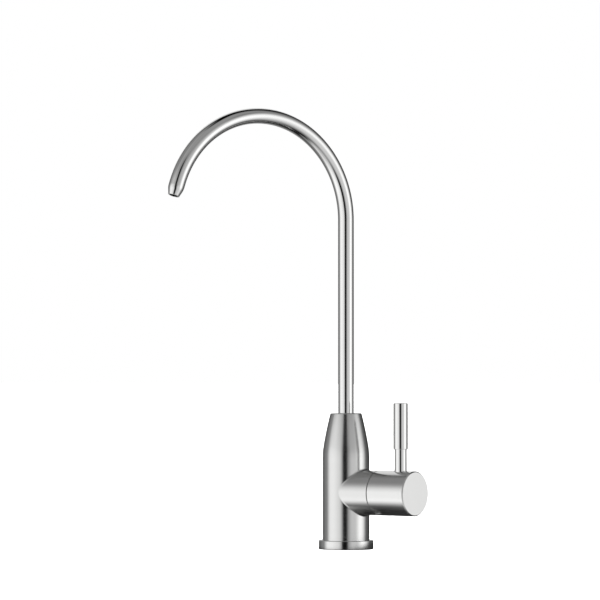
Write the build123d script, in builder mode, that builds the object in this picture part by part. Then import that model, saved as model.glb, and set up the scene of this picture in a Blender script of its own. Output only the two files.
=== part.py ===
from build123d import *
import os
from math import cos, radians, sin

# Drinking water filter tap: a single lever tap with a bottle-shaped body, a side
# branch that carries a quarter turn ceramic valve, and a tall swivelling gooseneck.
# Lengths are millimetres and angles are degrees. The origin is the middle of the base
# on the worktop, +Z is up, and +X runs along the valve's axis towards its handle.

full_turn = 360.0
half_turn = 180.0
quarter_turn = 90.0
hexagon_half_corner = 30.0   # half the angle between two corners of a hexagon

# Clearances and cutting allowances
turning_gap = 0.05          # radial gap of a turning fit
thread_gap = 0.05           # radial gap between an outer and an inner thread
seal_gap = 0.03             # gap between a round seal and its groove
loose_gap = 0.3             # gap round a part that drops into place
overrun = 1.0               # how far a cut runs past the face it starts from

# Base ring and its gasket
ring_wall = 2.95            # thickness of the wall round the body's foot
ring_height = 6.8
ring_floor = 3.0            # thickness of the floor that the body stands on
ring_edge_round = 0.5
ring_lip_chamfer = 0.35
ring_hole_rim = 1.7         # metal between the ring's hole and the groove for the gasket
gasket_rim = 1.95           # from the ring's outer edge in to the gasket
gasket_width = 3.6
gasket_thickness = 1.8

# Body
body_step = 0.95            # how far the bottle stands out past the branch at its sides
body_top = 103.5
shoulder_rise = 25.7        # from the valve's axis up to where the wall begins to lean in
shoulder_round = 60.0
shoulder_turn = 9.5
top_radius = 11.9
top_edge_round = 0.9

# Valve branch, measured from the tap's axis along +X
valve_height = 43.3
branch_wall = 2.84          # wall round the corners of the valve's hexagon
branch_face = 31.5
branch_blend = 1.5
seat_face = 8.0             # where the valve's seal presses on the body
water_bore_radius = 5.0
branch_mouth_depth = 4.5
chamber_depth = 1.27        # how far the chamber is bored out past the thread
chamber_length = 7.0
passage_radius = 2.8          # outlet passage from the chamber to the spout's bore
passage_inset = 1.4

# Threaded shank and what holds it under the worktop
shank_radius = 10.48
shank_bore_radius = 6.0
shank_end = 62.0            # how far the shank reaches below the worktop's top
shank_grip = 13.5           # length screwed into the body
shank_chamfer = 0.8
shank_seal_thickness = 1.5
inlet_length = 14.0         # threaded length kept for the supply nut
relief_width = 2.0
relief_depth = 0.9
worktop_thickness = 20.0
washer_radius = 19.0
rubber_washer_thickness = 3.0
steel_washer_thickness = 1.5
nut_across_flats = 27.0
nut_height = 7.0
nut_chamfer = 1.0

# Gooseneck spout
tube_radius = 6.0
tube_wall = 1.0
bend_radius = 76.7
bend_centre_z = 250.6
bend_angle = 161.0
spout_heading = 250.5       # direction of the spout, from +X towards +Y
tip_straight = 3.0          # plain tube between the bend and the drawn-in tip
tip_length = 8.0
tip_radius = 4.15
tip_round = 14.0
tip_slope = 15.0
tip_lip_round = 0.3         # round on the outer edge of the tip

# Swivel socket at the foot of the spout
socket_radius = 7.4
socket_depth = 32.5         # how deep the socket stands in the body
socket_grip = 16.5          # length of tube inside the socket
socket_bore_radius = 4.5
socket_chamfer = 0.3
glide_washer_thickness = 1.0
o_ring_groove_depth = 1.5
o_ring_groove_width = 2.0
lower_groove_rise = 4.0     # middle of each groove above the socket's foot
upper_groove_rise = 8.0
snap_groove_rise = 12.0
snap_ring_thickness = 1.1
snap_ring_inner_radius = 6.4
snap_ring_outer_radius = 8.0
snap_ring_opening = 4.0

# Quarter turn ceramic valve
seat_seal_thickness = 3.0
seat_seal_proud = 1.0       # how far the seal stands out of the valve's nose
port_inner_radius = 3.6
port_width = 3.2
port_sweep = 40.0
disc_rim = 1.4              # plain ceramic outside the ports
disc_thickness = 3.0
disc_key_width = 2.4
nose_wall = 1.1
housing_thread_step = 1.13  # how far the housing's thread stands out past its nose
housing_gasket_thickness = 1.0
hex_shoulder = 1.52         # how far the hexagon's flats stand out past the thread
hex_height = 4.6
neck_radius = 7.0
neck_length = 4.9
window_length = 4.0
window_width = 9.0
spindle_radius = 5.0
driver_width = 5.6
driver_slot_depth = 1.2
driver_length = 3.8
thrust_washer_thickness = 0.8
spindle_groove_depth = 1.2
spindle_groove_width = 1.5
spindle_groove_pitch = 4.0
clip_thickness = 0.7
clip_radius = 7.0
clip_opening = 5.0
spline_tip_radius = 4.0
spline_root_radius = 3.6
spline_count = 20
spline_length = 10.8

# Handle
handle_gap = 0.5            # seam between the branch and the handle
handle_length = 33.4
handle_wall = 2.3
handle_end_wall = 4.0
handle_chamfer = 0.8
hub_radius = 8.5
hub_recess = 8.5            # how far the hub stands back from the open rim
spline_bore_depth = 11.5

# Lever, measured from the valve's axis
lever_place = 19.5          # from the handle's open rim
lever_seat = 16.0
lever_stem_radius = 4.65
lever_step = 33.3
lever_grip_radius = 5.5
lever_top = 68.1
lever_edge_round = 0.5
lever_step_chamfer = 0.4
lever_thread_radius = 3.0
lever_thread_end = 5.5
lever_hole_end = 5.2

# Grub screw under the handle
grub_place = 13.5           # from the handle's open rim
grub_radius = 2.5
grub_length = 6.0
grub_key_size = 2.5
grub_key_depth = 2.5
grub_chamfer = 0.4
grub_access_radius = 2.9

# Height of the shoulder, and radii that follow from each other, from the valve's ports
# out to the base ring and its gasket
shoulder_z = valve_height + shoulder_rise
port_outer_radius = port_inner_radius + port_width
disc_radius = port_outer_radius + disc_rim
cup_radius = disc_radius + turning_gap
nose_radius = cup_radius + nose_wall
branch_thread_radius = nose_radius + housing_thread_step
branch_socket_radius = branch_thread_radius + thread_gap
chamber_radius = branch_socket_radius + chamber_depth
hex_across_flats = 2 * (branch_thread_radius + hex_shoulder)
hex_corner_radius = hex_across_flats / 2 / cos(radians(hexagon_half_corner))
mouth_radius = hex_corner_radius + loose_gap
branch_radius = mouth_radius + branch_wall
handle_radius = branch_radius
body_radius = branch_radius + body_step
recess_radius = body_radius + turning_gap
ring_radius = recess_radius + ring_wall
gasket_outer_radius = ring_radius - gasket_rim
gasket_inner_radius = gasket_outer_radius - gasket_width
ring_hole_radius = gasket_inner_radius - loose_gap - ring_hole_rim

# Frames that the pieces are drawn in
tap_side = Plane.XZ
valve_centre = (0, 0, valve_height)
valve_side = Plane(origin=valve_centre, x_dir=(1, 0, 0), z_dir=(0, -1, 0))
valve_axis = Axis(valve_centre, (1, 0, 0))
heading = (cos(radians(spout_heading)), sin(radians(spout_heading)), 0)
spout_side = Plane(origin=(0, 0, 0), x_dir=heading, z_dir=(heading[1], -heading[0], 0))


def across_valve(place):
    """A plane square to the valve's axis, at that distance from the tap's axis."""
    return Plane(origin=(place, 0, valve_height), x_dir=(0, 1, 0), z_dir=(1, 0, 0))


def outline(plane, points):
    """A closed face through the points, drawn on the plane."""
    with BuildSketch(plane) as face:
        with BuildLine():
            Polyline(*points, close=True)
        make_face()
    return face.sketch


def annulus(plane, inner_radius, outer_radius):
    """A flat ring on the plane."""
    with BuildSketch(plane) as ring:
        Circle(outer_radius)
        Circle(inner_radius, mode=Mode.SUBTRACT)
    return ring.sketch


def open_ring(plane, inner_radius, outer_radius, opening):
    """A flat ring with a slot cut through one side, as a retaining clip has."""
    with BuildSketch(plane) as ring:
        Circle(outer_radius)
        Circle(inner_radius, mode=Mode.SUBTRACT)
        with Locations((outer_radius, 0)):
            Rectangle(2 * outer_radius, opening, mode=Mode.SUBTRACT)
    return ring.sketch


def disc(plane, radius):
    """A round face on the plane."""
    with BuildSketch(plane) as face:
        Circle(radius)
    return face.sketch


def hexagon(plane, across_flats):
    """A hexagon on the plane, by its size across the flats."""
    with BuildSketch(plane) as face:
        RegularPolygon(across_flats / 2, side_count=6, major_radius=False)
    return face.sketch


def spline_outline(plane, growth):
    """The toothed outline of the spindle's spline, grown by a clearance."""
    step = full_turn / (2 * spline_count)
    points = []
    for tooth in range(2 * spline_count):
        radius = growth + (spline_tip_radius if tooth % 2 == 0 else spline_root_radius)
        points.append((radius * cos(radians(tooth * step)), radius * sin(radians(tooth * step))))
    return outline(plane, points)


def ports(plane, turn):
    """The two water ports of a ceramic disc, as bent slots opposite each other."""
    middle = (port_inner_radius + port_outer_radius) / 2
    with BuildSketch(plane) as face:
        for side in (turn, turn + half_turn):
            with BuildLine() as middle_line:
                CenterArc((0, 0), middle, side - port_sweep / 2, port_sweep)
            SlotArc(middle_line.wires()[0], port_outer_radius - port_inner_radius)
    return face.sketch


os.makedirs("parts", exist_ok=True)

# Base ring: a turned stainless ring with a recess that the body stands in and a
# groove in its underside for the gasket.
with BuildPart() as base_ring:
    revolve(
        outline(tap_side, [
            (ring_hole_radius, 0), (ring_radius, 0), (ring_radius, ring_height),
            (recess_radius, ring_height), (recess_radius, ring_floor), (ring_hole_radius, ring_floor),
        ]),
        axis=Axis.Z,
    )
    extrude(
        annulus(Plane.XY, gasket_inner_radius - loose_gap, gasket_outer_radius + loose_gap),
        amount=gasket_thickness,
        mode=Mode.SUBTRACT,
    )
    outer_edges = base_ring.edges().filter_by(GeomType.CIRCLE).group_by(SortBy.RADIUS)[-1]
    fillet(outer_edges, ring_edge_round)
    top_edges = base_ring.edges().filter_by(GeomType.CIRCLE).group_by(Axis.Z)[-1]
    chamfer(top_edges.sort_by(SortBy.RADIUS)[0], ring_lip_chamfer)
base_ring.part.label = "base_ring"
export_step(base_ring.part, "parts/base_ring.step")

# Base gasket: the rubber ring squeezed flush with the underside of the base ring.
with BuildPart() as base_gasket:
    extrude(annulus(Plane.XY, gasket_inner_radius, gasket_outer_radius), amount=gasket_thickness)
base_gasket.part.label = "base_gasket"
export_step(base_gasket.part, "parts/base_gasket.step")

# Body: a cast stainless bottle with a side branch. Inside are the threaded socket for
# the shank, the inlet bore that turns into the valve's seat, the chamber round the
# valve, the outlet passage and the deep bore that the spout turns in.
thread_socket_radius = shank_radius + thread_gap
shank_top = ring_floor + shank_grip
inlet_floor = shank_top + shank_seal_thickness
spout_bore_radius = socket_radius + turning_gap
spout_bore_floor = body_top - socket_depth - glide_washer_thickness
snap_groove_z = body_top - socket_depth + snap_groove_rise
nose_length = seat_seal_thickness - seat_seal_proud + 2 * disc_thickness
nose_length += driver_length - driver_slot_depth + thrust_washer_thickness
thread_start = seat_face + seat_seal_proud + nose_length
nose_bore_radius = nose_radius + loose_gap
chamber_start = thread_start - chamber_length
mouth_floor = branch_face - branch_mouth_depth
snap_groove_width = snap_ring_thickness + loose_gap
passage_start = Vector(spout_bore_radius - passage_radius - passage_inset, 0, spout_bore_floor + overrun)
passage_end = Vector(chamber_start + passage_radius, 0, valve_height + chamber_radius - passage_radius)
passage_length = (passage_end - passage_start).length
passage_plane = Plane(origin=passage_start, x_dir=(0, 1, 0), z_dir=passage_end - passage_start)

with BuildPart() as body:
    with BuildSketch(tap_side):
        with BuildLine() as wall_line:
            Polyline((0, ring_floor), (body_radius, ring_floor), (body_radius, shoulder_z))
            shoulder = JernArc(
                start=(body_radius, shoulder_z), tangent=(0, 1),
                radius=shoulder_round, arc_size=shoulder_turn,
            )
            TangentArc(shoulder @ 1, (top_radius, body_top), tangent=shoulder % 1)
            Polyline((top_radius, body_top), (0, body_top), (0, ring_floor))
        make_face()
    revolve(axis=Axis.Z)
    fillet(body.edges().filter_by(GeomType.CIRCLE).group_by(Axis.Z)[-1], top_edge_round)
    bottle_edges = body.edges()
    extrude(disc(across_valve(0), branch_radius), amount=branch_face)
    joint_edges = body.edges() - bottle_edges
    fillet(joint_edges.filter_by(lambda edge: edge.center().X < branch_face - branch_blend), branch_blend)
    extrude(
        disc(Plane.XY.offset(ring_floor), thread_socket_radius),
        amount=inlet_floor - ring_floor, mode=Mode.SUBTRACT,
    )
    extrude(
        disc(Plane.XY.offset(inlet_floor), water_bore_radius),
        amount=valve_height - inlet_floor, mode=Mode.SUBTRACT,
    )
    revolve(
        outline(valve_side, [
            (-water_bore_radius, 0), (-water_bore_radius, water_bore_radius),
            (seat_face, water_bore_radius), (seat_face, nose_bore_radius),
            (chamber_start, nose_bore_radius), (chamber_start, chamber_radius),
            (thread_start, chamber_radius), (thread_start, branch_socket_radius),
            (mouth_floor, branch_socket_radius), (mouth_floor, mouth_radius),
            (branch_face + overrun, mouth_radius), (branch_face + overrun, 0),
        ]),
        axis=valve_axis, mode=Mode.SUBTRACT,
    )
    revolve(
        outline(tap_side, [
            (0, spout_bore_floor), (spout_bore_radius, spout_bore_floor),
            (spout_bore_radius, body_top + overrun), (0, body_top + overrun),
        ]),
        axis=Axis.Z, mode=Mode.SUBTRACT,
    )
    extrude(
        disc(Plane.XY.offset(snap_groove_z - snap_groove_width / 2), snap_ring_outer_radius + loose_gap),
        amount=snap_groove_width, mode=Mode.SUBTRACT,
    )
    extrude(disc(passage_plane, passage_radius), amount=passage_length, mode=Mode.SUBTRACT)
body.part.label = "body"
export_step(body.part, "parts/body.step")

# Shank: a threaded brass tube. Its upper end screws into the body, it passes through
# the hole in the worktop, and the supply nut goes on its lower end, past the relief.
with BuildPart() as shank:
    inlet_top = inlet_length - shank_end
    relief_radius = shank_radius - relief_depth
    revolve(
        outline(tap_side, [
            (shank_bore_radius, -shank_end), (shank_radius, -shank_end), (shank_radius, inlet_top),
            (relief_radius, inlet_top), (relief_radius, inlet_top + relief_width),
            (shank_radius, inlet_top + relief_width), (shank_radius, shank_top),
            (shank_bore_radius, shank_top),
        ]),
        axis=Axis.Z,
    )
    for end_edges in (shank.edges().group_by(Axis.Z)[0], shank.edges().group_by(Axis.Z)[-1]):
        chamfer(end_edges.sort_by(SortBy.RADIUS)[-1], shank_chamfer)
shank.part.label = "shank"
export_step(shank.part, "parts/shank.step")

# Shank seal: the rubber ring that closes the joint between shank and body.
with BuildPart() as shank_seal:
    extrude(
        annulus(Plane.XY.offset(shank_top), shank_bore_radius, shank_radius - shank_chamfer),
        amount=shank_seal_thickness,
    )
shank_seal.part.label = "shank_seal"
export_step(shank_seal.part, "parts/shank_seal.step")

# Rubber washer, steel washer and nut: they clamp the worktop from below.
under_hole_radius = shank_radius + loose_gap
rubber_washer_foot = -worktop_thickness - rubber_washer_thickness
steel_washer_foot = rubber_washer_foot - steel_washer_thickness
nut_foot = steel_washer_foot - nut_height

with BuildPart() as rubber_washer:
    extrude(
        annulus(Plane.XY.offset(rubber_washer_foot), under_hole_radius, washer_radius),
        amount=rubber_washer_thickness,
    )
rubber_washer.part.label = "rubber_washer"
export_step(rubber_washer.part, "parts/rubber_washer.step")

with BuildPart() as steel_washer:
    extrude(
        annulus(Plane.XY.offset(steel_washer_foot), under_hole_radius, washer_radius),
        amount=steel_washer_thickness,
    )
steel_washer.part.label = "steel_washer"
export_step(steel_washer.part, "parts/steel_washer.step")

with BuildPart() as mounting_nut:
    nut_corner_radius = nut_across_flats / 2 / cos(radians(hexagon_half_corner))
    extrude(hexagon(Plane.XY.offset(nut_foot), nut_across_flats), amount=nut_height)
    revolve(
        outline(tap_side, [
            (nut_corner_radius - nut_chamfer, nut_foot), (nut_corner_radius + overrun, nut_foot),
            (nut_corner_radius + overrun, nut_foot + nut_chamfer + overrun),
        ]),
        axis=Axis.Z, mode=Mode.SUBTRACT,
    )
    extrude(
        disc(Plane.XY.offset(nut_foot), shank_radius + thread_gap),
        amount=nut_height, mode=Mode.SUBTRACT,
    )
mounting_nut.part.label = "mounting_nut"
export_step(mounting_nut.part, "parts/mounting_nut.step")

# Seat seal: the rubber ring at the valve's nose. Water comes in through its middle.
fixed_disc_place = seat_face + seat_seal_thickness
turning_disc_place = fixed_disc_place + disc_thickness
driver_place = turning_disc_place + disc_thickness - driver_slot_depth
driver_end = driver_place + driver_length

with BuildPart() as seat_seal:
    extrude(
        annulus(across_valve(seat_face), water_bore_radius, disc_radius - seal_gap),
        amount=seat_seal_thickness,
    )
seat_seal.part.label = "seat_seal"
export_step(seat_seal.part, "parts/seat_seal.step")

# Fixed disc: the ceramic disc that keys into the housing, with two ports.
with BuildPart() as fixed_disc:
    with BuildSketch(across_valve(fixed_disc_place)):
        Circle(disc_radius)
        Rectangle(2 * nose_radius, disc_key_width)
    extrude(amount=disc_thickness)
    extrude(ports(across_valve(fixed_disc_place), quarter_turn), amount=disc_thickness, mode=Mode.SUBTRACT)
fixed_disc.part.label = "fixed_disc"
export_step(fixed_disc.part, "parts/fixed_disc.step")

# Turning disc: the ceramic disc that the spindle turns. Its ports stand a quarter
# turn away from those of the fixed disc while the tap is shut.
with BuildPart() as turning_disc:
    extrude(disc(across_valve(turning_disc_place), disc_radius), amount=disc_thickness)
    extrude(ports(across_valve(turning_disc_place), 0), amount=disc_thickness, mode=Mode.SUBTRACT)
    with BuildSketch(across_valve(driver_place)):
        Rectangle(driver_width + 2 * seal_gap, 2 * disc_radius + overrun)
    extrude(amount=driver_slot_depth, mode=Mode.SUBTRACT)
turning_disc.part.label = "turning_disc"
export_step(turning_disc.part, "parts/turning_disc.step")

# Valve housing: the brass body of the ceramic valve, screwed into the branch by its
# hexagon. Two windows in its nose let the water out into the body's chamber.
hex_place = mouth_floor + housing_gasket_thickness
neck_place = hex_place + hex_height
neck_end = neck_place + neck_length
window_place = turning_disc_place + disc_thickness - window_length / 2
journal_bore_radius = spindle_radius + turning_gap

with BuildPart() as valve_housing:
    extrude(hexagon(across_valve(hex_place), hex_across_flats), amount=hex_height)
    revolve(
        outline(valve_side, [
            (seat_face + seat_seal_proud, 0), (seat_face + seat_seal_proud, nose_radius),
            (thread_start, nose_radius), (thread_start, branch_thread_radius),
            (hex_place, branch_thread_radius), (neck_place, branch_thread_radius),
            (neck_place, neck_radius), (neck_end, neck_radius), (neck_end, 0),
        ]),
        axis=valve_axis,
    )
    revolve(
        outline(valve_side, [
            (seat_face, 0), (seat_face, cup_radius), (thread_start, cup_radius),
            (thread_start, journal_bore_radius), (neck_end + overrun, journal_bore_radius),
            (neck_end + overrun, 0),
        ]),
        axis=valve_axis, mode=Mode.SUBTRACT,
    )
    with BuildSketch(across_valve(seat_face)):
        Rectangle(2 * nose_radius + overrun, disc_key_width + 2 * seal_gap)
    extrude(amount=turning_disc_place - seat_face, mode=Mode.SUBTRACT)
    with BuildSketch(across_valve(window_place)):
        Rectangle(window_width, 2 * nose_radius + overrun)
    extrude(amount=window_length, mode=Mode.SUBTRACT)
valve_housing.part.label = "valve_housing"
export_step(valve_housing.part, "parts/valve_housing.step")

# Housing gasket: the fibre ring between the housing's hexagon and the branch.
with BuildPart() as housing_gasket:
    extrude(
        annulus(across_valve(mouth_floor), branch_thread_radius + loose_gap,
                hex_across_flats / 2 + loose_gap),
        amount=housing_gasket_thickness,
    )
housing_gasket.part.label = "housing_gasket"
export_step(housing_gasket.part, "parts/housing_gasket.step")

# Thrust washer: a slippery plastic ring between the spindle's driver and the housing.
with BuildPart() as thrust_washer:
    extrude(
        annulus(across_valve(driver_end), spindle_radius + turning_gap, disc_radius - turning_gap),
        amount=thrust_washer_thickness,
    )
thrust_washer.part.label = "thrust_washer"
export_step(thrust_washer.part, "parts/thrust_washer.step")

# Spindle: a brass shaft with a driver bar at its inner end, two grooves for O-rings, a
# groove for the clip, and a spline at its outer end for the handle.
first_groove = (driver_end + neck_end) / 2 - spindle_groove_pitch
second_groove = first_groove + spindle_groove_pitch
clip_place = neck_end + turning_gap
clip_groove_radius = spline_tip_radius
spline_place = clip_place + clip_thickness + turning_gap
groove_floor_radius = spindle_radius - spindle_groove_depth

with BuildPart() as spindle:
    with BuildSketch(across_valve(driver_place)):
        Circle(disc_radius - turning_gap)
        Rectangle(driver_width, 2 * disc_radius, mode=Mode.INTERSECT)
    extrude(amount=driver_length)
    extrude(disc(across_valve(driver_end), spindle_radius), amount=clip_place - driver_end)
    extrude(disc(across_valve(clip_place), clip_groove_radius), amount=spline_place - clip_place)
    extrude(spline_outline(across_valve(spline_place), 0), amount=spline_length)
    for groove in (first_groove, second_groove):
        extrude(
            annulus(across_valve(groove - spindle_groove_width / 2), groove_floor_radius,
                    spindle_radius + overrun),
            amount=spindle_groove_width, mode=Mode.SUBTRACT,
        )
spindle.part.label = "spindle"
export_step(spindle.part, "parts/spindle.step")

# Spindle O-rings: two rubber rings that keep the water from the handle.
spindle_ring_thickness = spindle_groove_depth - seal_gap
spindle_ring_middle = spindle_radius - spindle_groove_depth / 2
for ring_name, groove in (
    ("inner_spindle_o_ring", first_groove),
    ("outer_spindle_o_ring", second_groove),
):
    with BuildPart() as spindle_o_ring:
        with BuildSketch(valve_side):
            with Locations((groove, spindle_ring_middle)):
                Circle(spindle_ring_thickness / 2)
        revolve(axis=valve_axis)
    spindle_o_ring.part.label = ring_name
    export_step(spindle_o_ring.part, "parts/" + ring_name + ".step")

# Spindle clip: the spring steel ring that stops the spindle from being pushed in.
with BuildPart() as spindle_clip:
    extrude(
        open_ring(across_valve(clip_place), clip_groove_radius + turning_gap, clip_radius, clip_opening),
        amount=clip_thickness,
    )
spindle_clip.part.label = "spindle_clip"
export_step(spindle_clip.part, "parts/spindle_clip.step")

# Handle: a hollow turned cap. The hub inside it fits over the spindle's spline, the
# seat on its top takes the lever, and the hole below reaches the grub screw.
handle_start = branch_face + handle_gap
handle_end = handle_start + handle_length
cavity_radius = handle_radius - handle_wall
cavity_end = handle_end - handle_end_wall
hub_place = handle_start + hub_recess
lever_line = handle_start + lever_place
grub_line = handle_start + grub_place
above_handle = handle_radius + overrun


def along_lever(rise):
    """A plane square to the lever, at that distance from the valve's axis."""
    return Plane(origin=(lever_line, 0, valve_height + rise), x_dir=(1, 0, 0), z_dir=(0, 0, 1))


def along_grub(drop):
    """A plane square to the grub screw, facing down, below the valve's axis."""
    return Plane(origin=(grub_line, 0, valve_height - drop), x_dir=(1, 0, 0), z_dir=(0, 0, -1))


with BuildPart() as handle:
    extrude(disc(across_valve(handle_start), handle_radius), amount=handle_length)
    chamfer(handle.edges().group_by(Axis.X)[-1], handle_chamfer)
    extrude(
        annulus(across_valve(handle_start), hub_radius, cavity_radius),
        amount=cavity_end - handle_start, mode=Mode.SUBTRACT,
    )
    extrude(disc(across_valve(handle_start), hub_radius + overrun), amount=hub_recess, mode=Mode.SUBTRACT)
    extrude(
        spline_outline(across_valve(hub_place), turning_gap),
        amount=spline_bore_depth, mode=Mode.SUBTRACT,
    )
    extrude(
        disc(along_lever(lever_seat), lever_stem_radius + turning_gap),
        amount=above_handle - lever_seat, mode=Mode.SUBTRACT,
    )
    extrude(
        disc(along_lever(lever_hole_end), lever_thread_radius + thread_gap),
        amount=above_handle - lever_hole_end, mode=Mode.SUBTRACT,
    )
    extrude(disc(along_grub(0), grub_radius + thread_gap), amount=cavity_radius, mode=Mode.SUBTRACT)
    extrude(disc(along_grub(cavity_radius - overrun), grub_access_radius),
            amount=above_handle - cavity_radius + overrun, mode=Mode.SUBTRACT)
handle.part.label = "handle"
export_step(handle.part, "parts/handle.step")

# Lever: a turned rod with a thread at its foot, a slim stem and a thicker grip.
with BuildPart() as lever:
    extrude(disc(along_lever(lever_thread_end), lever_thread_radius), amount=lever_seat - lever_thread_end)
    extrude(disc(along_lever(lever_seat), lever_stem_radius), amount=lever_step - lever_seat)
    extrude(disc(along_lever(lever_step), lever_grip_radius), amount=lever_top - lever_step)
    fillet(lever.edges().group_by(Axis.Z)[-1], lever_edge_round)
    step_edges = lever.edges().filter_by_position(
        Axis.Z, valve_height + lever_step - seal_gap, valve_height + lever_step + seal_gap
    )
    chamfer(step_edges.sort_by(SortBy.RADIUS)[-1], lever_step_chamfer)
lever.part.label = "lever"
export_step(lever.part, "parts/lever.step")

# Grub screw: it holds the handle's hub on the spindle, with a hexagon socket for a key.
grub_tip = spline_tip_radius + turning_gap
with BuildPart() as handle_grub_screw:
    extrude(disc(along_grub(grub_tip), grub_radius), amount=grub_length)
    chamfer(handle_grub_screw.edges().filter_by(GeomType.CIRCLE), grub_chamfer)
    extrude(
        hexagon(along_grub(grub_tip + grub_length - grub_key_depth), grub_key_size),
        amount=grub_key_depth, mode=Mode.SUBTRACT,
    )
handle_grub_screw.part.label = "handle_grub_screw"
export_step(handle_grub_screw.part, "parts/handle_grub_screw.step")

# Spout socket: the turned piece brazed on the tube's foot. It turns in the body and
# carries two O-rings and the snap ring that keeps the spout down.
socket_foot = body_top - socket_depth
tube_foot = body_top - socket_grip
o_ring_groove_floor = socket_radius - o_ring_groove_depth
snap_ring_z = socket_foot + snap_groove_rise

with BuildPart() as spout_socket:
    revolve(
        outline(tap_side, [
            (socket_bore_radius, socket_foot), (socket_radius, socket_foot), (socket_radius, body_top),
            (tube_radius + seal_gap, body_top), (tube_radius + seal_gap, tube_foot),
            (socket_bore_radius, tube_foot),
        ]),
        axis=Axis.Z,
    )
    chamfer(spout_socket.edges().group_by(Axis.Z)[-1].sort_by(SortBy.RADIUS)[-1], socket_chamfer)
    chamfer(spout_socket.edges().group_by(Axis.Z)[0].sort_by(SortBy.RADIUS)[-1], socket_chamfer)
    for rise, width, floor_radius in (
        (lower_groove_rise, o_ring_groove_width, o_ring_groove_floor),
        (upper_groove_rise, o_ring_groove_width, o_ring_groove_floor),
        (snap_groove_rise, snap_groove_width, snap_ring_inner_radius - turning_gap),
    ):
        extrude(
            annulus(Plane.XY.offset(socket_foot + rise - width / 2), floor_radius, socket_radius + overrun),
            amount=width, mode=Mode.SUBTRACT,
        )
spout_socket.part.label = "spout_socket"
export_step(spout_socket.part, "parts/spout_socket.step")

# Spout O-rings: two rubber rings that seal the turning spout in the body.
spout_ring_middle = socket_radius - o_ring_groove_depth / 2
spout_ring_thickness = o_ring_groove_depth - seal_gap
for ring_name, rise in (
    ("lower_spout_o_ring", lower_groove_rise),
    ("upper_spout_o_ring", upper_groove_rise),
):
    with BuildPart() as spout_o_ring:
        with BuildSketch(tap_side):
            with Locations((spout_ring_middle, socket_foot + rise)):
                Circle(spout_ring_thickness / 2)
        revolve(axis=Axis.Z)
    spout_o_ring.part.label = ring_name
    export_step(spout_o_ring.part, "parts/" + ring_name + ".step")

# Snap ring: the open spring ring that stands in the socket's groove and springs out
# into the body's groove, so that the spout turns but can't be lifted.
with BuildPart() as snap_ring:
    extrude(
        open_ring(Plane.XY.offset(snap_ring_z - snap_ring_thickness / 2), snap_ring_inner_radius,
                  snap_ring_outer_radius, snap_ring_opening),
        amount=snap_ring_thickness,
    )
snap_ring.part.label = "snap_ring"
export_step(snap_ring.part, "parts/snap_ring.step")

# Glide washer: the slippery plastic ring that the spout's foot turns on.
with BuildPart() as glide_washer:
    extrude(
        annulus(Plane.XY.offset(spout_bore_floor), socket_bore_radius, socket_radius - turning_gap),
        amount=glide_washer_thickness,
    )
glide_washer.part.label = "glide_washer"
export_step(glide_washer.part, "parts/glide_washer.step")

# Spout tube: one stainless tube, bent to a gooseneck, with its tip drawn in.
tube_bore_radius = tube_radius - tube_wall
with BuildPart() as spout_tube:
    with BuildLine(spout_side) as tube_line:
        riser = Line((0, tube_foot), (0, bend_centre_z))
        bend = JernArc(start=(0, bend_centre_z), tangent=(0, 1), radius=bend_radius, arc_size=-bend_angle)
        PolarLine(bend @ 1, tip_straight, direction=bend % 1)
    sweep(annulus(Plane.XY.offset(tube_foot), tube_bore_radius, tube_radius), path=tube_line.wires()[0])
    tip_start = tube_line.wires()[0] @ 1
    tip_direction = tube_line.wires()[0] % 1
    tip_side = Plane(origin=tip_start, x_dir=tip_direction, z_dir=spout_side.z_dir)
    with BuildSketch(tip_side):
        with BuildLine():
            Line((0, tube_bore_radius), (0, tube_radius))
            draw_in = JernArc(start=(0, tube_radius), tangent=(1, 0), radius=tip_round, arc_size=-tip_slope)
            Polyline(draw_in @ 1, (tip_length, tip_radius), (tip_length, tip_radius - tube_wall))
            Line((tip_length, tip_radius - tube_wall), (0, tube_bore_radius))
        make_face()
    revolve(axis=Axis(tip_start, tip_direction))
    round_edges = spout_tube.edges().filter_by(GeomType.CIRCLE)
    end_edges = round_edges.sort_by_distance(tip_start + tip_direction * tip_length)[0:2]
    fillet(end_edges.sort_by(SortBy.RADIUS)[-1], tip_lip_round)
spout_tube.part.label = "spout_tube"
export_step(spout_tube.part, "parts/spout_tube.step")
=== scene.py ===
import math

import bmesh
import bpy
import numpy as np
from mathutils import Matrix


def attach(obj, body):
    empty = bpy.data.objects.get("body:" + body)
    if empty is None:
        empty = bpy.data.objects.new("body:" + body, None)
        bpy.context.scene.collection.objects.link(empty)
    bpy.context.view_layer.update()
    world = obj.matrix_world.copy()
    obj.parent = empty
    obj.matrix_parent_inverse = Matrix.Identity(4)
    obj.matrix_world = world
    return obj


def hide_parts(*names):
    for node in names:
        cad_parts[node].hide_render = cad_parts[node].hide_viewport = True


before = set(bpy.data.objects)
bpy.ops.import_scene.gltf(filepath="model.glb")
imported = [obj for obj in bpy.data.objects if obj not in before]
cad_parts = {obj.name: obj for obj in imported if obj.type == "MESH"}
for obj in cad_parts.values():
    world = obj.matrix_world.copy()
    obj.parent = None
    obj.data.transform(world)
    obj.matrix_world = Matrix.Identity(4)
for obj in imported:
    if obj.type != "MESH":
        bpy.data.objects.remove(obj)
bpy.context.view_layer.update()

# Body: the stainless bottle that carries everything else. It is cast in one with its side
# branch, turned outside, blended where the two meet, bored for the spout and the valve,
# and brushed all over.
mm = 0.001
body_foot = 3.0
body_radius = 17.946
body_top = 103.5
body_foot_chamfer = 0.3
shoulder_z = 69.0
shoulder_round = 60.0
shoulder_turn = 9.5
neck_radius = 11.9
neck_edge_round = 0.9
valve_height = 43.3
branch_radius = 16.996
branch_face = 31.5
branch_edge_round = 0.3
branch_blend = 1.5
branch_mouth_radius = 14.156
branch_mouth_floor = 27.0
branch_thread_radius = 10.53
valve_seat = 8.0
shank_thread_radius = 10.53
shank_thread_top = 18.0
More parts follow.
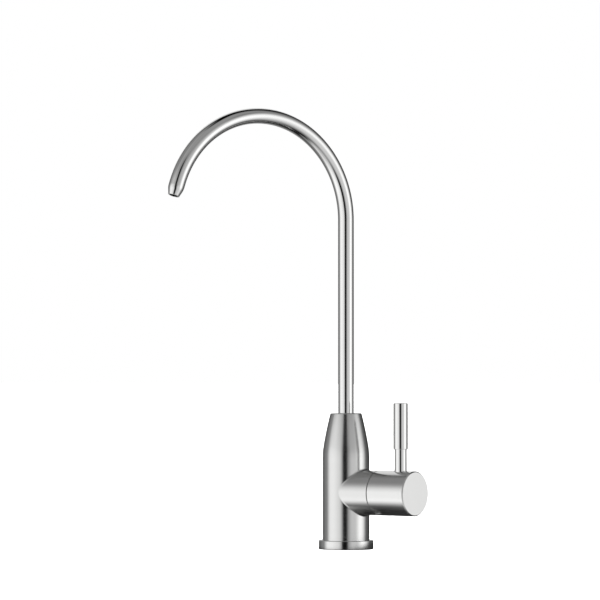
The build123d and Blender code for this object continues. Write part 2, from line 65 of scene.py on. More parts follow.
inlet_bore_radius = 5.0
inlet_bore_top = 38.5
spout_bore_radius = 7.45
spout_bore_floor = 70.0
spout_bore_edge_round = 0.25
patch_reach = 24.0           # how far above and below the valve's axis the blended front goes
full_turn = 360.0
round_columns = 192          # columns of points round a large turned piece
weld_distance = 0.002        # points nearer than this are joined
shoulder_steps = 12
neck_rows = 30
blend_steps = 10             # across the blend, from the branch to the bottle
front_rows = 15              # from the blend out to the patch's border
branch_rows = 9
patch_rows = 32


def arc(centre, start, end, steps):
    """Points of an arc about a centre. Start and end are measured from the centre. Each point
    is the start times the sine of the angle still to turn, plus the end times the sine of the
    angle turned, over the sine of the whole angle."""
    lengths = np.linalg.norm(start, axis=-1, keepdims=True) * np.linalg.norm(end, axis=-1, keepdims=True)
    angle = np.arccos(np.sum(start * end, axis=-1, keepdims=True) / lengths)
    share = np.linspace(0, 1, steps + 1).reshape((-1,) + (1,) * np.ndim(start))
    return centre + (np.sin((1 - share) * angle) * start + np.sin(share * angle) * end) / np.sin(angle)


def rounded(corners, steps=6):
    """Runs of (radius, height) points along an outline. A corner (radius, height, round) is an
    arc that touches both its sides, at the round over the tangent of the half angle between
    them, and its centre is the round over the sine away. One without a round ends a run."""
    places = [np.array(corner[:2], float) for corner in corners]
    runs, run = [], [places[0]]
    for before, corner, after, (_, _, edge_round) in zip(places, places[1:], places[2:], corners[1:]):
        if edge_round == 0:
            runs.append(np.array(run + [corner]))
            run = [corner]
            continue
        back, ahead = ((side - corner) / np.linalg.norm(side - corner) for side in (before, after))
        half = math.acos(back @ ahead) / 2
        centre = corner + (back + ahead) / np.linalg.norm(back + ahead) * edge_round / math.sin(half)
        start, end = (corner + side * edge_round / math.tan(half) - centre for side in (back, ahead))
        run.extend(arc(centre, start, end, steps))
    return runs + [np.array(run + [places[-1]])]


def straight(origin, along, side):
    """A straight line to turn a piece about: for heights along it, the points on it, the two
    directions square to it, and its own direction."""
    origin, along, side = (np.array(vector, float) for vector in (origin, along, side))
    across = np.cross(along, side)
    return lambda height: (origin + height[..., None] * along, side, across, along)


def placed(line, radius, angle, height, out=1.0, up=0.0):
    """A grid of points round a line: the line's point at the height, plus the radius times the
    cosine and sine of the angle along the line's two sides. Out and up are how far each point
    faces away from the line and along it. Nine numbers a point: its place, the way it faces,
    and its place in the lathe, where the line is straight."""
    radius, angle, height, out, up = np.broadcast_arrays(radius, angle, height, out, up)
    middle, side, across, along = line(height)
    cosine, sine = np.cos(angle)[..., None], np.sin(angle)[..., None]
    place = middle + radius[..., None] * (cosine * side + sine * across)
    stretch = np.sum(side * side, axis=-1, keepdims=True)
    facing = out[..., None] * (cosine * side / stretch + sine * across) + up[..., None] * along
    facing = facing / np.linalg.norm(facing, axis=-1, keepdims=True)
    lathe = np.stack([radius * np.cos(angle), radius * np.sin(angle), height], axis=-1)
    return np.concatenate([place, facing, lathe], axis=-1)


def turned(runs, line, angles=None):
    """An outline's runs turned round a line. A point faces a quarter turn away from the step
    between its two neighbours on the outline."""
    if angles is None:
        angles = np.radians(np.linspace(0, full_turn, round_columns + 1))
    grids = []
    for run in runs:
        step = np.gradient(run, axis=0)
        grids.append(placed(line, run[:, :1], angles, run[:, 1:], step[:, 1:], -step[:, :1]))
    return grids


def border(across, columns, up, rows):
    """The edge of a rectangle on an unrolled wall, as (angle, height) points, from the middle
    of its upper side and first towards larger angles."""
    wide, tall = np.linspace(*across, columns + 1), np.linspace(*up, rows + 1)
    half = columns // 2
    sides = (
        (wide[half:-1], up[1]), (across[1], tall[:0:-1]), (wide[:0:-1], up[0]),
        (across[0], tall[:-1]), (wide[:half + 1], up[1]),
    )
    return np.concatenate([np.stack(np.broadcast_arrays(*side), axis=-1) for side in sides])


def stitched(name, grids, crease=None):
    """One closed mesh from grids of points, with a face between neighbouring rows and columns
    and the points that lie on each other joined. It is shaded by the way its points face, or
    with sharp edges above the crease angle where that is given."""
    points = np.concatenate([grid.reshape(-1, 9) for grid in grids])
    faces, count = [], 0
    for grid in grids:
        rows, columns = grid.shape[:2]
        index = count + np.arange(rows * columns).reshape(rows, columns)
        quads = [index[:-1, :-1], index[:-1, 1:], index[1:, 1:], index[1:, :-1]]
        faces.append(np.stack(quads, axis=-1).reshape(-1, 4))
        count += rows * columns
    faces = np.concatenate(faces)
    mesh = bpy.data.meshes.new(name)
    mesh.from_pydata((points[:, :3] * mm).tolist(), [], faces.tolist())
    corners = points[faces.ravel()]
    for attribute, values in (("facing", corners[:, 3:6]), ("lathe", corners[:, 6:] * mm)):
        layer = mesh.attributes.new(attribute, "FLOAT_VECTOR", "CORNER")
        layer.data.foreach_set("vector", values.ravel())
    joined = bmesh.new()
    joined.from_mesh(mesh)
    bmesh.ops.remove_doubles(joined, verts=joined.verts, dist=weld_distance * mm)
    bmesh.ops.recalc_face_normals(joined, faces=joined.faces)
    joined.to_mesh(mesh)
    joined.free()
    mesh.shade_smooth()
    facing = np.empty(len(mesh.loops) * 3)
    mesh.attributes["facing"].data.foreach_get("vector", facing)
    mesh.attributes.remove(mesh.attributes["facing"])
    if crease is None:
        mesh.normals_split_custom_set(facing.reshape(-1, 3).tolist())
    else:
        mesh.set_sharp_from_angle(angle=math.radians(crease))
    piece = bpy.data.objects.new(name, mesh)
    bpy.context.scene.collection.objects.link(piece)
    return piece


class Wire:
    """A socket that a material draws from. Sums, differences and products add Math nodes."""

    def __init__(self, socket):
        self.socket = socket

    @staticmethod
    def node(tree, kind, settings=None, sockets=None, output=0):
        """Adds a node: first its settings, then the values or the wires of its sockets."""
        part = tree.nodes.new(kind)
        for name, value in (settings or {}).items():
            setattr(part, name, value)
        for name, value in (sockets or {}).items():
            if isinstance(value, Wire):
                tree.links.new(value.socket, part.inputs[name])
            else:
                part.inputs[name].default_value = value
        return Wire(part.outputs[output]) if len(part.outputs) else None

    def maths(self, operation, other=0.0, swapped=False):
        """Adds a Math node on this wire and another wire or number, or the two swapped."""
        terms = (other, self) if swapped else (self, other)
        tree = self.socket.id_data
        return Wire.node(tree, "ShaderNodeMath", {"operation": operation}, dict(enumerate(terms)))

    def __add__(self, other):
        return self.maths("ADD", other)

    def __sub__(self, other):
        return self.maths("SUBTRACT", other)

    def __rsub__(self, other):
        return self.maths("SUBTRACT", other, swapped=True)

    def __mul__(self, other):
        return self.maths("MULTIPLY", other)

    __radd__ = __add__
    __rmul__ = __mul__


def blank(name):
    """A new material's node tree, with nothing in it but the output."""
    material = bpy.data.materials.new(name)
    material.use_nodes = True
    tree = material.node_tree
    tree.nodes.clear()
    return material, tree


def surface(tree, sockets):
    """Ends a tree in a Principled shader with these sockets."""
    shader = Wire.node(tree, "ShaderNodeBsdfPrincipled", {}, sockets)
    Wire.node(tree, "ShaderNodeOutputMaterial", {}, {"Surface": shader})


def lathe_axes(tree, valve_part=False, turned_piece=True):
    """Where a point lay in the lathe: two wires across the axis and one along it. Pieces made
    here carry it as an attribute, and CAD pieces have it in their own coordinates."""
    if turned_piece:
        vector = Wire.node(tree, "ShaderNodeAttribute", {"attribute_name": "lathe"}, output="Vector")
    else:
        vector = Wire.node(tree, "ShaderNodeTexCoord", output="Object")
    split = tree.nodes.new("ShaderNodeSeparateXYZ")
    tree.links.new(vector.socket, split.inputs[0])
    x, y, z = (Wire(socket) for socket in split.outputs)
    return (y, z - valve_height * mm, x) if valve_part else (x, y, z)


def noise(tree, vector, scale, detail=2.0, rough=0.5):
    """Soft random patches, between 0 and 1."""
    sockets = {"Vector": vector, "Scale": scale, "Detail": detail, "Roughness": rough}
    return Wire.node(tree, "ShaderNodeTexNoise", {}, sockets)


def vector_of(tree, x, y, z):
    """A vector of three wires or numbers."""
    return Wire.node(tree, "ShaderNodeCombineXYZ", {}, {"X": x, "Y": y, "Z": z})


def shades(tree, share, dark, light):
    """A colour between two others, by a share."""
    return Wire.node(
        tree, "ShaderNodeMix", {"data_type": "RGBA"},
        {0: share, 6: (*dark, 1), 7: (*light, 1)}, output=2,
    )


def lathe_lines(tree, axes, across, along, detail, rough=0.5):
    """Noise stretched round the axis: slow across the lathe, and fast along the outline, which
    is the height plus the radius."""
    x, y, z = axes
    outline = z + (x * x + y * y).maths("SQRT")
    stretched_place = vector_of(tree, x * across, y * across, outline * along)
    return noise(tree, stretched_place, scale=1.0, detail=detail, rough=rough)


def brushed_steel(name, dark, light, roughness, spread, scratch, valve_part=False, turned_piece=True):
    """Stainless steel with fine lines left by an abrasive belt held against the turning piece.
    The colour goes from dark to light by a mean of the lines, broader bands and a slight
    cloud, and the roughness goes half the spread up and down by the lines and the cloud."""
    material, tree = blank(name)
    axes = lathe_axes(tree, valve_part, turned_piece)
    lines = lathe_lines(tree, axes, across=55.0, along=5200.0, detail=3.0, rough=0.6)
    bands = lathe_lines(tree, axes, across=18.0, along=420.0, detail=2.0)
    cloud = noise(tree, vector_of(tree, *axes), scale=42.0, detail=2.0)
    share = lines * 0.55 + bands * 0.25 + cloud * 0.2
    bump = Wire.node(
        tree, "ShaderNodeBump", {}, {"Strength": scratch, "Distance": 0.00002, "Height": lines},
    )
    surface(tree, {
        "Base Color": shades(tree, share, dark, light), "Metallic": 1.0,
        "Roughness": roughness + spread * (lines * 0.6 + cloud * 0.4 - 0.5), "Normal": bump,
    })
    return material


tap_axis = straight((0, 0, 0), (0, 0, 1), (1, 0, 0))
valve_axis = straight((0, 0, valve_height), (-1, 0, 0), (0, 0, 1))   # heights count towards -X

# The wall leans in from the shoulder on one arc, and goes on to the top on a flatter one. Its
# last points are left out, because the round of the top edge starts before them.
shoulder_centre = np.array([body_radius - shoulder_round, shoulder_z])
lean = math.radians(shoulder_turn)
inward = -np.array([math.cos(lean), math.sin(lean)])
shoulder = arc(shoulder_centre, np.array([shoulder_round, 0.0]), -inward * shoulder_round, shoulder_steps)
rise = np.array([neck_radius, body_top]) - shoulder[-1]
neck_round = rise @ rise / (2 * inward @ rise)
neck_centre = shoulder[-1] + inward * neck_round
neck = arc(neck_centre, -inward * neck_round, rise - inward * neck_round, neck_rows)[1:-2]
neck_top = rounded([
    (*neck[-1], 0), (neck_radius, body_top, neck_edge_round),
    (spout_bore_radius, body_top, spout_bore_edge_round),
    (spout_bore_radius, spout_bore_floor, 0), (0, spout_bore_floor, 0),
])
patch_low, patch_high = valve_height - patch_reach, valve_height + patch_reach
bottle_top = [np.concatenate([[[body_radius, patch_high]], shoulder, neck, neck_top[0][1:]])] + neck_top[1:]
bottle_foot = rounded([
    (0, inlet_bore_top, 0), (inlet_bore_radius, inlet_bore_top, 0),
    (inlet_bore_radius, shank_thread_top, 0), (shank_thread_radius, shank_thread_top, 0),
    (shank_thread_radius, body_foot, 0), (body_radius, body_foot, body_foot_chamfer),
    (body_radius, patch_low, 0),
])

# Between these heights the back is plain wall. The front is drawn from the edge of the
# blend out to a rectangle, and the blend is the path of a ball rolled along the joint.
back_angles = np.radians(np.linspace(90, 270, round_columns // 2 + 1))
back_heights = np.linspace(patch_low, patch_high, patch_rows + 1)[:, None]
patch_edge = border((-math.pi / 2, math.pi / 2), round_columns // 2, (patch_low, patch_high), patch_rows)
branch_angles = np.unwrap(np.arctan2(body_radius * patch_edge[:, 0], patch_edge[:, 1] - valve_height))
ball_y = (branch_radius + branch_blend) * np.sin(branch_angles)
ball_z = (branch_radius + branch_blend) * np.cos(branch_angles)
ball_x = np.sqrt((body_radius + branch_blend) ** 2 - ball_y ** 2)
blend_edge = np.stack([np.arctan2(ball_y, ball_x), valve_height + ball_z], axis=-1)
share = np.linspace(0, 1, front_rows)[:, None, None]
front = blend_edge + share * (patch_edge - blend_edge)
ball = np.stack([ball_x, ball_y, valve_height + ball_z], axis=-1)
to_branch = -np.stack([0 * ball_x, np.sin(branch_angles), np.cos(branch_angles)], axis=-1) * branch_blend
to_bottle = -np.stack([ball_x, ball_y, 0 * ball_x], axis=-1) / (body_radius + branch_blend) * branch_blend
blend = arc(ball, to_branch, to_bottle, blend_steps)
blend_lathe = np.stack([blend[..., 2] - valve_height, blend[..., 1], -blend[..., 0]], axis=-1)
blend_grid = np.concatenate([blend, (ball - blend) / branch_blend, blend_lathe], axis=-1)
branch_start = -branch_face + 2 * branch_edge_round
branch_heights = branch_start + np.linspace(0, 1, branch_rows)[:, None] * (-ball_x - branch_start)
branch_mouth = rounded([
    (0, -valve_seat, 0), (branch_thread_radius, -valve_seat, 0),
    (branch_thread_radius, -branch_mouth_floor, 0), (branch_mouth_radius, -branch_mouth_floor, 0),
    (branch_mouth_radius, -branch_face, branch_edge_round),
    (branch_radius, -branch_face, branch_edge_round), (branch_radius, branch_start, 0),
])
body = stitched("body_casting", [
    *turned(bottle_foot, tap_axis), *turned(bottle_top, tap_axis),
    placed(tap_axis, body_radius, back_angles, back_heights),
    placed(tap_axis, body_radius, front[..., 0], front[..., 1]), blend_grid,
    placed(valve_axis, branch_radius, branch_angles, branch_heights),
    *turned(branch_mouth, valve_axis, branch_angles),
])
body.data.materials.append(brushed_steel(
    "brushed_body", (0.57, 0.57, 0.565), (0.65, 0.65, 0.645),
    roughness=0.19, spread=0.10, scratch=0.12,
))
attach(body, "tap_body")
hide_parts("body")

# Base ring: a stainless ring turned with a recess for the foot of the body, a hole for
# the shank and a groove below for the gasket. It is brushed finer than the body.
ring_radius = 20.946
ring_height = 6.8
ring_edge_round = 0.5
ring_lip_round = 0.3
recess_radius = 17.996
ring_hole_radius = 13.396
groove_inner_radius = 15.096
groove_outer_radius = 19.296
groove_depth = 1.8
ring_foot_middle = (groove_outer_radius + ring_radius) / 2
ring = stitched("foot_ring", turned(rounded([
    (ring_foot_middle, 0, 0), (ring_radius, 0, ring_edge_round),
    (ring_radius, ring_height, ring_edge_round), (recess_radius, ring_height, ring_lip_round),
    (recess_radius, body_foot, 0), (ring_hole_radius, body_foot, 0), (ring_hole_radius, 0, 0),
    (groove_inner_radius, 0, 0), (groove_inner_radius, groove_depth, 0),
    (groove_outer_radius, groove_depth, 0), (groove_outer_radius, 0, 0), (ring_foot_middle, 0, 0),
]), tap_axis))
ring.data.materials.append(brushed_steel(
    "brushed_ring", (0.59, 0.59, 0.585), (0.67, 0.67, 0.665),
    roughness=0.13, spread=0.07, scratch=0.08,
))
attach(ring, "tap_body")
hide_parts("base_ring")

# Shank: a brass tube with a rolled pipe thread along it. It screws into the foot of the
# body and takes the supply nut on the short thread below the plain relief.
shank_radius = 10.48
shank_bore_radius = 6.0
shank_ends = (-62.0, 16.5)
shank_chamfer = 0.8
thread_pitch = 1.814
thread_depth = 1.16
flank_slope = 1.4                          # share of the depth that the wave swings over
flat_share = 0.2                           # share cut flat at the crest, and as much at the root
relief_low = -48.0
relief_high = -46.0
relief_radius = 9.58
thread_rows_per_turn = 10
thread_columns = 72


def threaded(heights, angles):
    """Radius of the thread. Its flanks are a triangle wave of the height, less a share of a
    pitch for each share of a turn, cut flat at crest and root, and it is turned down to a
    cone at both ends and to a plain neck at the relief."""
    phase = (heights / thread_pitch - angles / math.radians(full_turn)) % 1
    flank = np.clip(np.abs(2 * phase - 1) * flank_slope - flat_share, 0, 1)
    radius = shank_radius - thread_depth * flank
    ends = np.minimum(heights - shank_ends[0], shank_ends[1] - heights)
    radius = np.minimum(radius, shank_radius - shank_chamfer + ends)
    from_neck = np.minimum(np.abs(heights - relief_low), np.abs(heights - relief_high))
    inside = (heights > relief_low) & (heights < relief_high)
    return np.where(inside, relief_radius, np.minimum(radius, relief_radius + from_neck))


thread_turns = (shank_ends[1] - shank_ends[0]) / thread_pitch
thread_heights = np.linspace(*shank_ends, round(thread_turns * thread_rows_per_turn) + 1)[:, None]
thread_angles = np.radians(np.linspace(0, full_turn, thread_columns + 1))
shank = stitched("threaded_shank", [
    placed(tap_axis, threaded(thread_heights, thread_angles), thread_angles, thread_heights),
    *turned([
        np.array([[threaded(np.array(end), 0.0), end], [shank_bore_radius, end]][::side])
        for end, side in zip(shank_ends, (-1, 1))
    ] + [np.array([[shank_bore_radius, shank_ends[1]], [shank_bore_radius, shank_ends[0]]])],
        tap_axis, thread_angles),
], crease=35)


def machined_brass(name, dark, light, valve_part=False, turned_piece=True):
    """Bare brass with the feed lines of the cutting tool, and a slight dulling in patches. The
    dulling gives the colour, and both add to the roughness."""
    material, tree = blank(name)
    axes = lathe_axes(tree, valve_part, turned_piece)
    feed = lathe_lines(tree, axes, across=25.0, along=3600.0, detail=2.0)
    dulling = noise(tree, vector_of(tree, *axes), scale=130.0, detail=4.0, rough=0.6)
    bump = Wire.node(tree, "ShaderNodeBump", {}, {"Strength": 0.2, "Distance": 0.00003, "Height": feed})
    surface(tree, {
        "Base Color": shades(tree, dulling, dark, light), "Metallic": 1.0,
        "Roughness": 0.2 + 0.12 * feed + 0.16 * dulling, "Normal": bump,
    })
    return material


shank_brass = machined_brass("machined_brass", (0.60, 0.44, 0.20), (0.80, 0.63, 0.34))
shank.data.materials.append(shank_brass)
shank.visible_glossy = False               # hidden by the worktop from what the tap mirrors
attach(shank, "tap_body")
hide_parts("shank")

# Washers and nut under the worktop: a moulded rubber washer, a stamped steel washer with
# rounded edges, and a hexagon nut turned on its lower side.
washer_bore_radius = 10.78
washer_radius = 19.0
rubber_washer_faces = (-23.0, -20.0)
steel_washer_faces = (-24.5, -23.0)
rubber_washer_edge_round = 0.5
steel_washer_edge_round = 0.25


def flat_ring(faces, edge_round):
    """Outline of a washer between two faces, from the middle of its lower side."""
    middle = (washer_bore_radius + washer_radius) / 2
    low, high = faces
    return rounded([
        (middle, low, 0), (washer_radius, low, edge_round), (washer_radius, high, edge_round),
        (washer_bore_radius, high, edge_round), (washer_bore_radius, low, edge_round),
        (middle, low, 0),
    ])


def black_rubber(name):
    """Moulded rubber: nearly black, with a fine grain from the mould and a faint bloom, which
    makes it paler and rougher."""
    material, tree = blank(name)
    place = Wire.node(tree, "ShaderNodeTexCoord", output="Object")
    bloom = noise(tree, place, scale=220.0, detail=4.0, rough=0.6)
    grain = noise(tree, place, scale=5200.0, detail=2.0)
    bump = Wire.node(tree, "ShaderNodeBump", {}, {"Strength": 0.3, "Distance": 0.00003, "Height": grain})
    surface(tree, {
        "Base Color": shades(tree, bloom, (0.018, 0.018, 0.019), (0.05, 0.05, 0.051)),
        "Roughness": 0.5 + 0.2 * bloom, "Normal": bump,
    })
    return material


rubber = black_rubber("moulded_rubber")
rubber_washer_outline = flat_ring(rubber_washer_faces, rubber_washer_edge_round)
rubber_washer = stitched("soft_washer", turned(rubber_washer_outline, tap_axis))
rubber_washer.data.materials.append(rubber)
rubber_washer.visible_glossy = False
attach(rubber_washer, "clamp_set")
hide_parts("rubber_washer")

steel_washer_outline = flat_ring(steel_washer_faces, steel_washer_edge_round)
steel_washer = stitched("plain_washer", turned(steel_washer_outline, tap_axis))
steel_washer.data.materials.append(brushed_steel(
    "stamped_steel", (0.50, 0.50, 0.495), (0.63, 0.63, 0.62),
    roughness=0.34, spread=0.14, scratch=0.1,
))
steel_washer.visible_glossy = False
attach(steel_washer, "clamp_set")
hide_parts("steel_washer")

nut_across_flats = 27.0
nut_faces = (-31.5, -24.5)
nut_bore_radius = 10.53
nut_chamfer = 1.0
nut_bore_chamfer = 0.4
nut_columns = 96                           # sixteen for each flat
sixth = full_turn / 6


def hexagon_radius(angles):
    """Radius of the hexagon: half its size across the flats, over the cosine of the angle
    from the middle of the nearest flat."""
    from_flat = (np.degrees(angles) + sixth / 2) % sixth - sixth / 2
    return nut_across_flats / 2 / np.cos(np.radians(from_flat))


nut_angles = np.radians(np.linspace(0, full_turn, nut_columns + 1)) + np.radians(sixth / 2)
nut_wall = hexagon_radius(nut_angles)
nut_face_radius = nut_across_flats / 2 / math.cos(math.radians(sixth / 2)) - nut_chamfer
nut_cone = np.maximum(nut_wall - nut_face_radius, 0)
nut_inner = nut_bore_radius + nut_bore_chamfer + 0 * nut_wall
nut_low, nut_high = nut_faces
nut_sections = (
    (nut_inner, nut_low), (np.minimum(nut_wall, nut_face_radius), nut_low),
    (nut_wall, nut_low + nut_cone), (nut_wall, nut_high), (nut_inner, nut_high),
    (0 * nut_wall + nut_bore_radius, nut_high - nut_bore_chamfer),
    (0 * nut_wall + nut_bore_radius, nut_low + nut_bore_chamfer), (nut_inner, nut_low),
)
nut_radii, nut_heights = (
    np.array([np.broadcast_to(section[part], nut_wall.shape) for section in nut_sections])
    for part in (0, 1)
)
nut = stitched("hexagon_nut", [placed(tap_axis, nut_radii, nut_angles, nut_heights)], crease=20)
nut.data.materials.append(shank_brass)
nut.visible_glossy = False
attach(nut, "clamp_set")
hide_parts("mounting_nut")

# Spout socket: the turned stainless foot of the spout, brazed on the tube. It turns in the
# body on two O-rings, and a spring ring in its third groove keeps it down.
socket_radius = 7.4
socket_foot = 71.0
socket_bore_radius = 4.5
tube_socket_radius = 6.03
tube_foot = 87.0
socket_chamfer = 0.3
socket_grooves = ((4.0, 1.0, 5.9), (8.0, 1.0, 5.9), (12.0, 0.7, 6.35))   # rise, half width, floor
groove_corners = [
    corner for rise, half_width, floor in socket_grooves for corner in (
        (socket_radius, socket_foot + rise - half_width, 0), (floor, socket_foot + rise - half_width, 0),
        (floor, socket_foot + rise + half_width, 0), (socket_radius, socket_foot + rise + half_width, 0),
    )
]
socket = stitched("spout_foot", turned(rounded([
    (socket_bore_radius, socket_foot, 0), (socket_radius, socket_foot, socket_chamfer), *groove_corners,
    (socket_radius, body_top, socket_chamfer), (tube_socket_radius, body_top, 0),
    (tube_socket_radius, tube_foot, 0), (socket_bore_radius, tube_foot, 0),
    (socket_bore_radius, socket_foot, 0),
]), tap_axis))
socket.data.materials.append(brushed_steel(
    "turned_socket", (0.52, 0.52, 0.515), (0.62, 0.62, 0.615),
    roughness=0.22, spread=0.1, scratch=0.12,
))
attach(socket, "spout_set")
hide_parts("spout_socket")

# Spout tube: one 12 mm stainless tube, drawn through a bender, so that it is a little
# flattened in the bend. Its tip is drawn in on a spinning lathe and its lip is rounded.
tube_radius = 6.0
tube_wall = 1.0
bend_radius = 76.7
bend_start = 250.6
bend_angle = 161.0
spout_heading = math.radians(250.5)
bend_flattening = 0.03
tip_straight = 3.0
tip_length = 8.0
tip_radius = 4.15
tip_round = 14.0
tip_slope = 15.0
tip_lip_round = 0.3
tip_inner_round = 0.15
tip_rows = 8
riser_rows = 25
bend_rows = 160
tube_columns = 96
bend_length = bend_radius * math.radians(bend_angle)
tip_start = bend_start + bend_length + tip_straight
heading = np.array([math.cos(spout_heading), math.sin(spout_heading), 0])
upright = np.array([0, 0, 1.0])


def gooseneck(distance):
    """The tube's line: straight up, round an arc, and straight on. The turn at a distance is
    the length of arc passed, over the bend's radius. The side that faces the middle of the
    bend is shorter by the flattening, times the square of the sine of the share of the bend."""
    turn = (np.clip(distance - bend_start, 0, bend_length) / bend_radius)[..., None]
    before = np.minimum(distance, bend_start)[..., None]
    after = np.maximum(distance - bend_start - bend_length, 0)[..., None]
    along = np.sin(turn) * heading + np.cos(turn) * upright
    side = np.cos(turn) * heading - np.sin(turn) * upright
    place = before * upright + bend_radius * (heading - side) + after * along
    share = turn * bend_radius / bend_length
    squeeze = 1 - bend_flattening * np.sin(math.pi * share) ** 2
    return place, side * squeeze, np.cross(upright, heading), along


tip_arc = arc(
    np.array([tube_radius - tip_round, tip_start]), np.array([tip_round, 0.0]),
    tip_round * np.array([math.cos(math.radians(tip_slope)), math.sin(math.radians(tip_slope))]), tip_rows,
)
tip_lip = rounded([
    (*tip_arc[-1], 0), (tip_radius, tip_start + tip_length, tip_lip_round),
    (tip_radius - tube_wall, tip_start + tip_length, tip_inner_round),
    (tube_radius - tube_wall, tip_start, 0),
])
along_tube = np.concatenate([
    np.linspace(tube_foot, bend_start, riser_rows)[:-1],
    np.linspace(bend_start, bend_start + bend_length, bend_rows + 1),
])
outer_run = np.stack([0 * along_tube + tube_radius, along_tube], axis=-1)
inner_run = np.stack([0 * along_tube + tube_radius - tube_wall, along_tube], axis=-1)[::-1]
tube_runs = [
    np.concatenate([outer_run, tip_arc, tip_lip[0][1:], inner_run]),
    np.array([inner_run[-1], outer_run[0]]),
]
tube_angles = np.radians(np.linspace(0, full_turn, tube_columns + 1))
tube = stitched("gooseneck_tube", turned(tube_runs, gooseneck, tube_angles))
tube.data.materials.append(brushed_steel(
    "fine_brushed_tube", (0.62, 0.62, 0.615), (0.70, 0.70, 0.695),
    roughness=0.10, spread=0.05, scratch=0.05,
))
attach(tube, "spout_set")
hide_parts("spout_tube")

# Handle: a hollow stainless cap, turned from bar. Its hub fits over the splined spindle.
# A pocket on top takes the lever, and a hole underneath reaches the grub screw.
handle_ends = (32.0, 65.4)
handle_radius = 16.996
handle_rim_round = 0.3
handle_chamfer = 0.8
handle_chamfer_round = 0.15
cavity_radius = 14.696
cavity_end = 61.4
cavity_round = 0.6
hub_radius = 8.5
hub_place = 40.5
hub_edge_round = 0.3
spline_bore_radius = 4.05
spline_bore_end = 52.0
lever_line = 51.5
lever_pocket_radius = 4.7
lever_pocket_rim = 0.5                     # how far its edge is broken
lever_rim_depth = 0.28
lever_pocket_floor = 16.0
lever_thread_bore = 3.05
lever_thread_floor = 5.2
grub_line = 45.5
grub_access_radius = 2.9
grub_access_rim = 0.2
grub_thread_bore = 2.55
grub_thread_floor = 4.3
bored_ends = (-61.0, -41.0)                # the part of the walls that is drawn round the holes
bored_rows = 20
bored_columns = round_columns // 6         # columns of the patch round one hole
hole_rows = 9                              # from a hole's rim out to the patch's border
handle_run = rounded([
    (0, -handle_ends[1], 0), (handle_radius - handle_chamfer, -handle_ends[1], handle_chamfer_round),
    (handle_radius, handle_chamfer - handle_ends[1], handle_chamfer_round),
    (handle_radius, bored_ends[0], 0),
])
rim_run = rounded([
    (handle_radius, bored_ends[1], 0), (handle_radius, -handle_ends[0], handle_rim_round),
    (cavity_radius, -handle_ends[0], handle_rim_round), (cavity_radius, bored_ends[1], 0),
])
floor_run = rounded([
    (cavity_radius, bored_ends[0], 0), (cavity_radius, -cavity_end, cavity_round),
    (hub_radius, -cavity_end, cavity_round), (hub_radius, bored_ends[0], 0),
])
hub_run = rounded([
    (hub_radius, bored_ends[1], 0), (hub_radius, -hub_place, hub_edge_round),
    (spline_bore_radius, -hub_place, 0), (spline_bore_radius, -spline_bore_end, 0),
    (0, -spline_bore_end, 0),
])
sixth_turn = math.radians(sixth)
top_border = border((-sixth_turn / 2, sixth_turn / 2), bored_columns, bored_ends, bored_rows)
side_angles = np.linspace(sixth_turn / 2, math.pi - sixth_turn / 2, 2 * bored_columns + 1)
bored_heights = np.linspace(*bored_ends, bored_rows + 1)[:, None]


def hole_angles(line_place):
    """For each point of the patch's border, its bearing from the middle of the hole: the arc
    tangent of its distance round the wall over its distance along it."""
    return np.unwrap(np.arctan2(handle_radius * top_border[:, 0], top_border[:, 1] + line_place))


def bored_wall(wall_radius, facing, lever_hole, grub_hole):
    """A round wall with the lever's hole in its top and the screw's below. A point of a hole's
    rim is at the angle whose sine is its distance sideways over the wall's radius, and the
    patch runs straight from the rim to the border on the unrolled wall."""
    grids = [
        placed(valve_axis, wall_radius, side_angles + start, bored_heights, facing)
        for start in (0, math.pi)
    ]
    for middle, hole_radius, start in ((lever_line, lever_hole, 0), (grub_line, grub_hole, math.pi)):
        bearing = hole_angles(middle)
        rim = np.stack([
            np.arcsin(hole_radius * np.sin(bearing) / wall_radius),
            hole_radius * np.cos(bearing) - middle,
        ], axis=-1)
        patch = rim + np.linspace(0, 1, hole_rows)[:, None, None] * (top_border - rim)
        grids.append(placed(valve_axis, wall_radius, patch[..., 0] + start, patch[..., 1], facing))
    return grids


def bore(middle, inward, sections):
    """Walls of a hole towards the handle's axis, from sections (radius, distance from the
    axis, wall radius, out, up). With a wall radius the section lies on that round wall, at the
    root of its radius squared less the distance sideways squared."""
    line = straight((middle, 0, valve_height), (0, 0, inward), (-1, 0, 0))
    bearing = hole_angles(middle)
    grids = []
    for (upper, lower) in zip(sections, sections[1:]):
        radii, heights = [], []
        for hole_radius, depth, wall_radius in (upper[:3], lower[:3]):
            chord = np.sqrt(wall_radius ** 2 - (hole_radius * np.sin(bearing)) ** 2) if wall_radius else 0
            radii.append(0 * bearing + hole_radius)
            heights.append(0 * bearing + depth - chord)
        grids.append(placed(line, np.array(radii), bearing, np.array(heights), *lower[3:]))
    return grids


